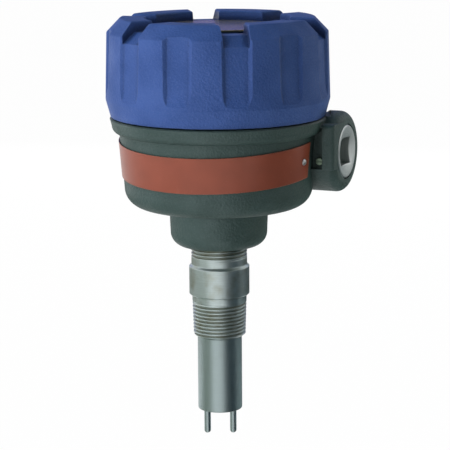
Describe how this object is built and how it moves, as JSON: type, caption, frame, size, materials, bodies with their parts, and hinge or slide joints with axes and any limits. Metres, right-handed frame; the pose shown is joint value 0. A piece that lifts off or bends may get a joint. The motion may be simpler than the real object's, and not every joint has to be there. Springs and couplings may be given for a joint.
{
  "type": "thermal dispersion switch",
  "caption": "Insertion flow and level switch: twin-tip probe with a taper pipe thread under a cast housing with a fluted, castellated screw cover and a plugged conduit entry.",
  "frame": {"origin": "on the probe's axis, at the shoulder where the process thread begins", "axes": "+Z along the probe's axis towards the cover, +X the way the conduit entry faces"},
  "size_m": [0.1142, 0.1098, 0.2107],
  "materials": {
    "cover_paint": "blue textured paint over cast aluminium",
    "housing_paint": "grey-green textured paint over cast aluminium",
    "red_plate": "red-brown anodised strip",
    "gold_plate": "satin gold-coloured disc",
    "probe_steel": "turned stainless steel",
    "plug_steel": "plated steel",
    "bright_steel": "bright plated steel",
    "earth_green": "green-dyed plated steel",
    "seal_rubber": "black rubber",
    "potting_resin": "dark resin",
    "element_ceramic": "pale ceramic",
    "lead_insulation": "white insulation",
    "board_green": "green laminate",
    "spacer_brass": "nickel-washed brass",
    "core_iron": "varnished laminations",
    "coil_wrap": "yellow tape",
    "black_moulding": "black moulding",
    "can_aluminium": "sleeved can",
    "terminal_moulding": "green moulding",
    "trimmer_blue": "blue moulding",
    "rotor_white": "white moulding",
    "lamp_red": "red tinted lens"
  },
  "bodies": {
    "base": {"housing": "housing_paint", "wrap_nameplate": "red_plate", "nameplate_screws": "bright_steel", "conduit_plug": "plug_steel", "earth_screw": "earth_green", "inner_earth_screw": "earth_green", "probe_fitting": "probe_steel", "probe_tube": "probe_steel", "probe_end_cap": "probe_steel", "active_tip": "probe_steel", "reference_tip": "probe_steel", "tip_potting": "potting_resin", "heated_element": "element_ceramic", "reference_element": "element_ceramic", "tip_leads": "lead_insulation", "lower_board": "board_green", "upper_board": "board_green", "board_spacers": "spacer_brass", "board_screws": "bright_steel", "transformer_core": "core_iron", "transformer_coil": "coil_wrap", "relay": "black_moulding", "capacitors": "can_aluminium", "terminal_block": "terminal_moulding", "terminal_screws": "bright_steel", "setpoint_trimmer": "trimmer_blue", "deadband_trimmer": "trimmer_blue", "status_lamp": "lamp_red"},
    "cover_ring": {"cover_seal": "seal_rubber"},
    "cover": {"cover": "cover_paint", "cover_nameplate": "gold_plate"},
    "setpoint_adjuster": {"setpoint_rotor": "rotor_white"},
    "deadband_adjuster": {"deadband_rotor": "rotor_white"}
  },
  "joints": [
    {"name": "cover_lift", "type": "slide", "parent": "base", "child": "cover_ring", "axis": [0, 0, 1], "range_m": [0, 0.0121]},
    {"name": "cover_turn", "type": "hinge", "parent": "cover_ring", "child": "cover", "pos_m": [0, 0, 0.11], "axis": [0, 0, 1], "range_deg": [0, 1440]},
    {"name": "setpoint_turn", "type": "hinge", "parent": "base", "child": "setpoint_adjuster", "pos_m": [-0.011, 0.012, 0.0982], "axis": [0, 0, -1], "range_deg": [0, 270]},
    {"name": "deadband_turn", "type": "hinge", "parent": "base", "child": "deadband_adjuster", "pos_m": [0.011, 0.012, 0.0982], "axis": [0, 0, -1], "range_deg": [0, 270]}
  ],
  "couplings": [
    {"joint": "cover_lift", "follows": "cover_turn", "m_per_rad": 0.00047746}
  ]
}
